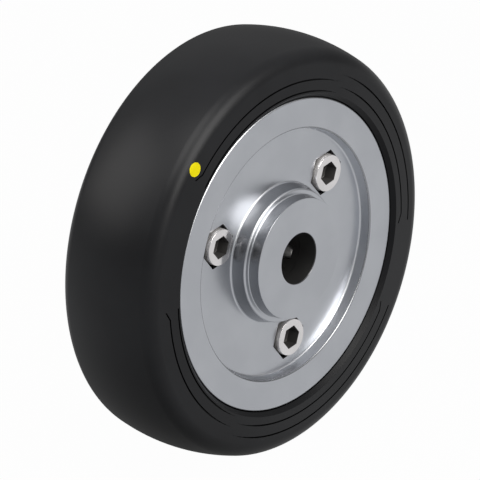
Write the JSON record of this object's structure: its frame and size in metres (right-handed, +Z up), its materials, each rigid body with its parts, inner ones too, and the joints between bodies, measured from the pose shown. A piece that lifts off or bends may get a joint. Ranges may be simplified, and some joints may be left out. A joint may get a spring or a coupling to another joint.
{
  "type": "industrial wheel",
  "caption": "Industrial wheel: solid rubber tyre clamped on a bolted split cast rim, with a stepped hub that runs on a caged roller bearing.",
  "frame": {"origin": "centre of the wheel, on the axle line at the middle plane of the tyre", "axes": "the wheel spins about Y; the screw heads face -Y; +Z is up"},
  "size_m": [0.2032, 0.0724, 0.2032],
  "materials": {
    "tyre": "satin black solid rubber",
    "rim": "satin die-cast aluminium",
    "screw": "bright zinc-plated steel",
    "nut": "bright zinc-plated steel",
    "race": "ground steel",
    "bush": "black moulded plastic",
    "cage": "black moulded plastic",
    "roller": "ground steel"
  },
  "bodies": {
    "wheel": {"tyre": "tyre", "front_rim_half": "rim", "rear_rim_half": "rim", "race_sleeve": "race", "front_bush": "bush", "rear_bush": "bush", "cap_screw_1": "screw", "hex_nut_1": "nut", "cap_screw_2": "screw", "hex_nut_2": "nut", "cap_screw_3": "screw", "hex_nut_3": "nut"},
    "cage": {"roller_cage": "cage"},
    "roller_1": {"roller_1": "roller"},
    "roller_2": {"roller_2": "roller"},
    "roller_3": {"roller_3": "roller"},
    "roller_4": {"roller_4": "roller"},
    "roller_5": {"roller_5": "roller"},
    "roller_6": {"roller_6": "roller"},
    "roller_7": {"roller_7": "roller"}
  },
  "joints": [
    {"name": "cage_spin", "type": "hinge", "parent": "wheel", "child": "cage", "pos_m": [0, 0, 0], "axis": [0, 1, 0], "continuous": true},
    {"name": "roller_1_spin", "type": "hinge", "parent": "cage", "child": "roller_1", "pos_m": [0.01503, 0, -0.00577], "axis": [0, 1, 0], "continuous": true},
    {"name": "roller_2_spin", "type": "hinge", "parent": "cage", "child": "roller_2", "pos_m": [0.01388, 0, 0.00815], "axis": [0, 1, 0], "continuous": true},
    {"name": "roller_3_spin", "type": "hinge", "parent": "cage", "child": "roller_3", "pos_m": [0.00228, 0, 0.01594], "axis": [0, 1, 0], "continuous": true},
    {"name": "roller_4_spin", "type": "hinge", "parent": "cage", "child": "roller_4", "pos_m": [-0.01104, 0, 0.01172], "axis": [0, 1, 0], "continuous": true},
    {"name": "roller_5_spin", "type": "hinge", "parent": "cage", "child": "roller_5", "pos_m": [-0.01605, 0, -0.00132], "axis": [0, 1, 0], "continuous": true},
    {"name": "roller_6_spin", "type": "hinge", "parent": "cage", "child": "roller_6", "pos_m": [-0.00897, 0, -0.01337], "axis": [0, 1, 0], "continuous": true},
    {"name": "roller_7_spin", "type": "hinge", "parent": "cage", "child": "roller_7", "pos_m": [0.00486, 0, -0.01535], "axis": [0, 1, 0], "continuous": true}
  ],
  "couplings": [
    {"joint": "roller_1_spin", "follows": "cage_spin", "ratio": -5.6},
    {"joint": "roller_2_spin", "follows": "cage_spin", "ratio": -5.6},
    {"joint": "roller_3_spin", "follows": "cage_spin", "ratio": -5.6},
    {"joint": "roller_4_spin", "follows": "cage_spin", "ratio": -5.6},
    {"joint": "roller_5_spin", "follows": "cage_spin", "ratio": -5.6},
    {"joint": "roller_6_spin", "follows": "cage_spin", "ratio": -5.6},
    {"joint": "roller_7_spin", "follows": "cage_spin", "ratio": -5.6}
  ]
}
